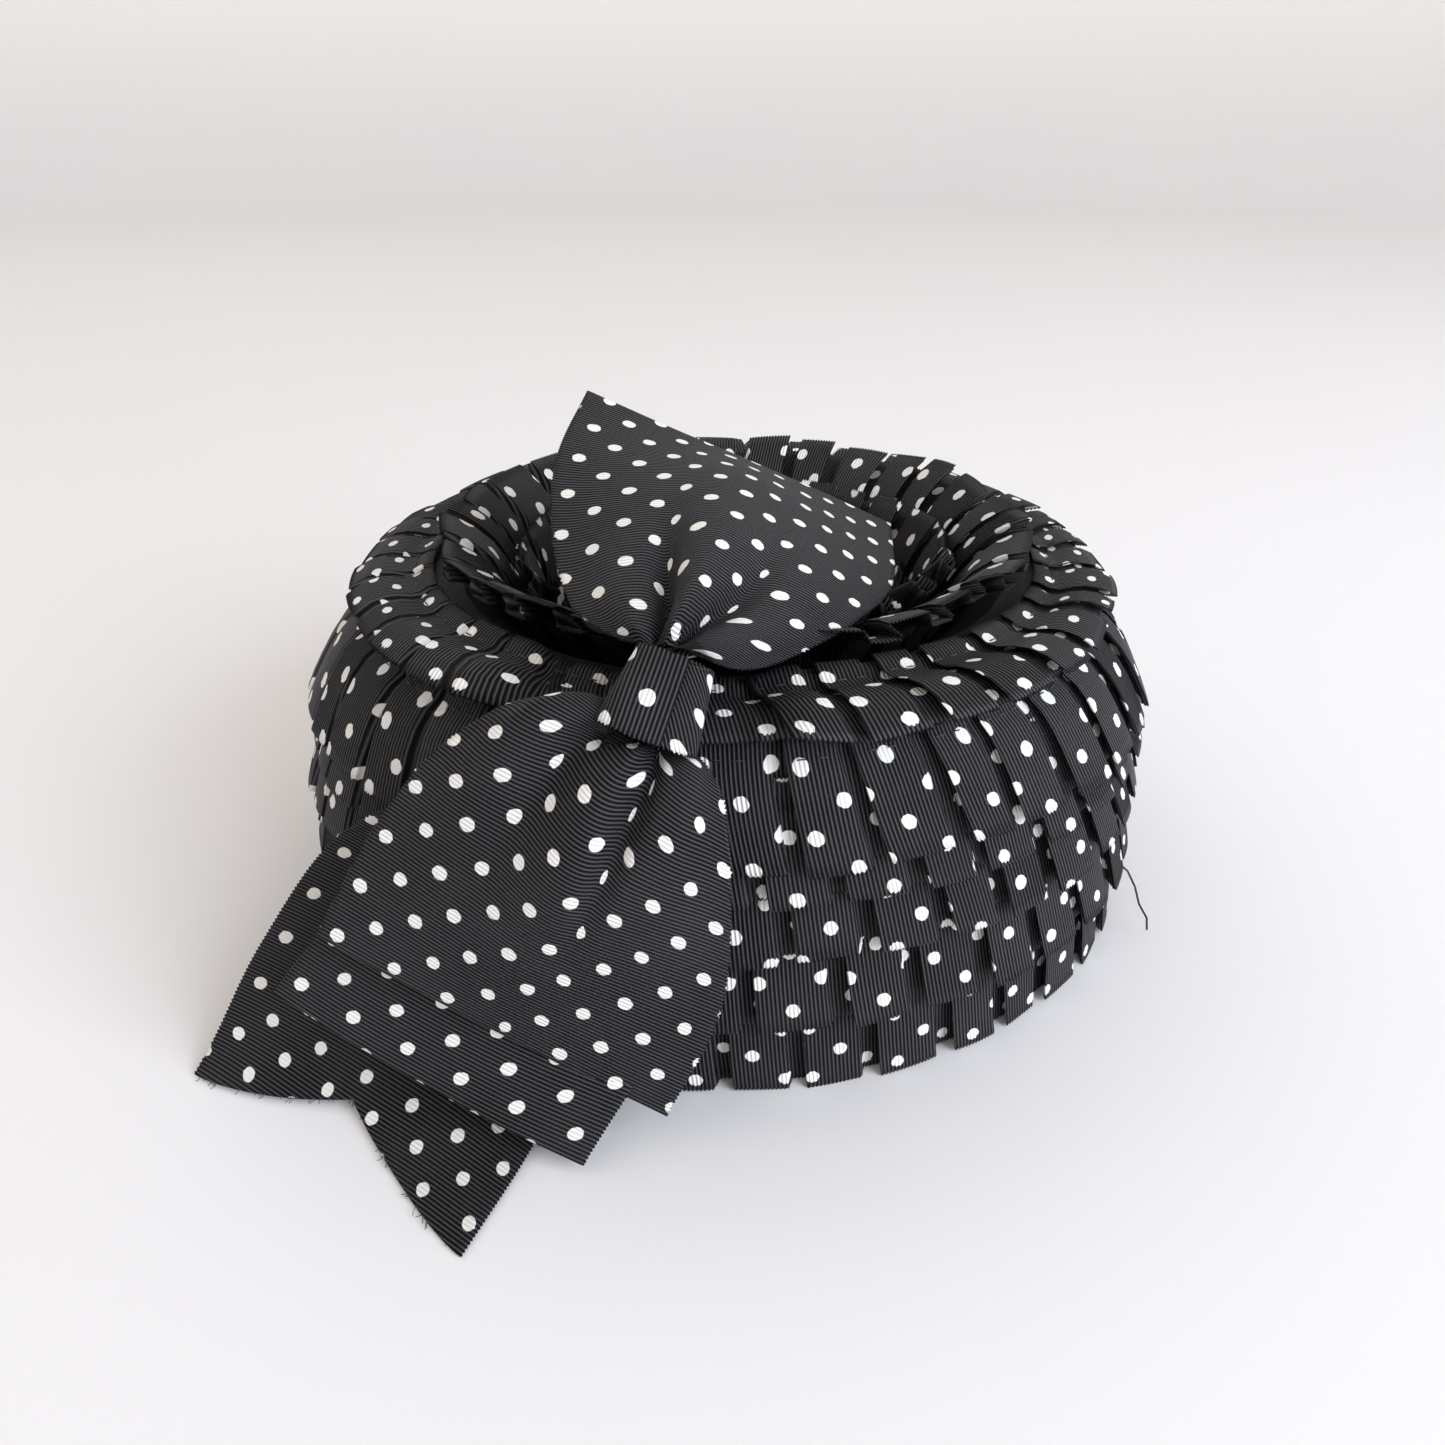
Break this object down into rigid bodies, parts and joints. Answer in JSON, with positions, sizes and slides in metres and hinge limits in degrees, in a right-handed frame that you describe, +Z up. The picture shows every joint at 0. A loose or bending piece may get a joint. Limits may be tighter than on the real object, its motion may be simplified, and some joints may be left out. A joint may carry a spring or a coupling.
{
  "type": "ribbon-covered dress hat with bow",
  "caption": "Soft oval dress hat covered in shingled rows of knife-pleated polka-dot ribbon, with a large looped ribbon bow and swallowtail end at the front of its top edge.",
  "frame": {"origin": "middle of the whole object's box, on the table under the hat", "axes": "+Z up, out of the crown; -Y toward the side that carries the bow; +X to the wearer's left, the viewer's right"},
  "size_m": [0.2134, 0.2112, 0.124],
  "materials": {
    "dotted_ribbon": "ribbed black grosgrain with printed white dots",
    "plain_ribbon": "ribbed black grosgrain",
    "black_net": "stiff open net",
    "lining_cloth": "soft satin cloth",
    "edge_wire_steel": "plain",
    "thread": "matte"
  },
  "bodies": {
    "hat": {"side_row_1": "dotted_ribbon", "side_row_2": "dotted_ribbon", "side_row_3": "dotted_ribbon", "side_row_4": "dotted_ribbon", "side_row_5": "dotted_ribbon", "side_row_6": "dotted_ribbon", "crown_row_1": "dotted_ribbon", "crown_row_2": "dotted_ribbon", "crown_row_3": "dotted_ribbon", "crown_row_4": "dotted_ribbon", "crown_centre_disc": "plain_ribbon", "head_size_ribbon": "plain_ribbon", "edge_binding": "plain_ribbon", "bow_knot_band": "dotted_ribbon", "bow_core": "dotted_ribbon", "bow_stay": "plain_ribbon", "foundation_side": "black_net", "foundation_crown": "black_net", "lining": "lining_cloth", "edge_wire": "edge_wire_steel", "loose_thread": "thread"},
    "upper_loop": {"bow_upper_loop": "dotted_ribbon"},
    "tail": {"bow_tail": "dotted_ribbon"},
    "second_loop": {"bow_second_loop": "dotted_ribbon"},
    "lower_loop": {"bow_lower_loop": "dotted_ribbon"}
  },
  "joints": [
    {"name": "upper_loop_lift", "type": "hinge", "parent": "hat", "child": "upper_loop", "pos_m": [-0.00666, -0.06114, 0.0975], "axis": [0.9832, -0.152, -0.1014], "range_deg": [0, 45]},
    {"name": "tail_lift", "type": "hinge", "parent": "hat", "child": "tail", "pos_m": [-0.00966, -0.06964, 0.08], "axis": [-0.8985, 0.4193, 0.1298], "range_deg": [0, 28]},
    {"name": "second_loop_lift", "type": "hinge", "parent": "tail", "child": "second_loop", "pos_m": [-0.00916, -0.07014, 0.0805], "axis": [-0.9344, 0.3316, 0.1306], "range_deg": [0, 20]},
    {"name": "lower_loop_lift", "type": "hinge", "parent": "second_loop", "child": "lower_loop", "pos_m": [-0.00916, -0.07064, 0.081], "axis": [-0.9512, 0.2503, 0.1802], "range_deg": [0, 20]}
  ]
}
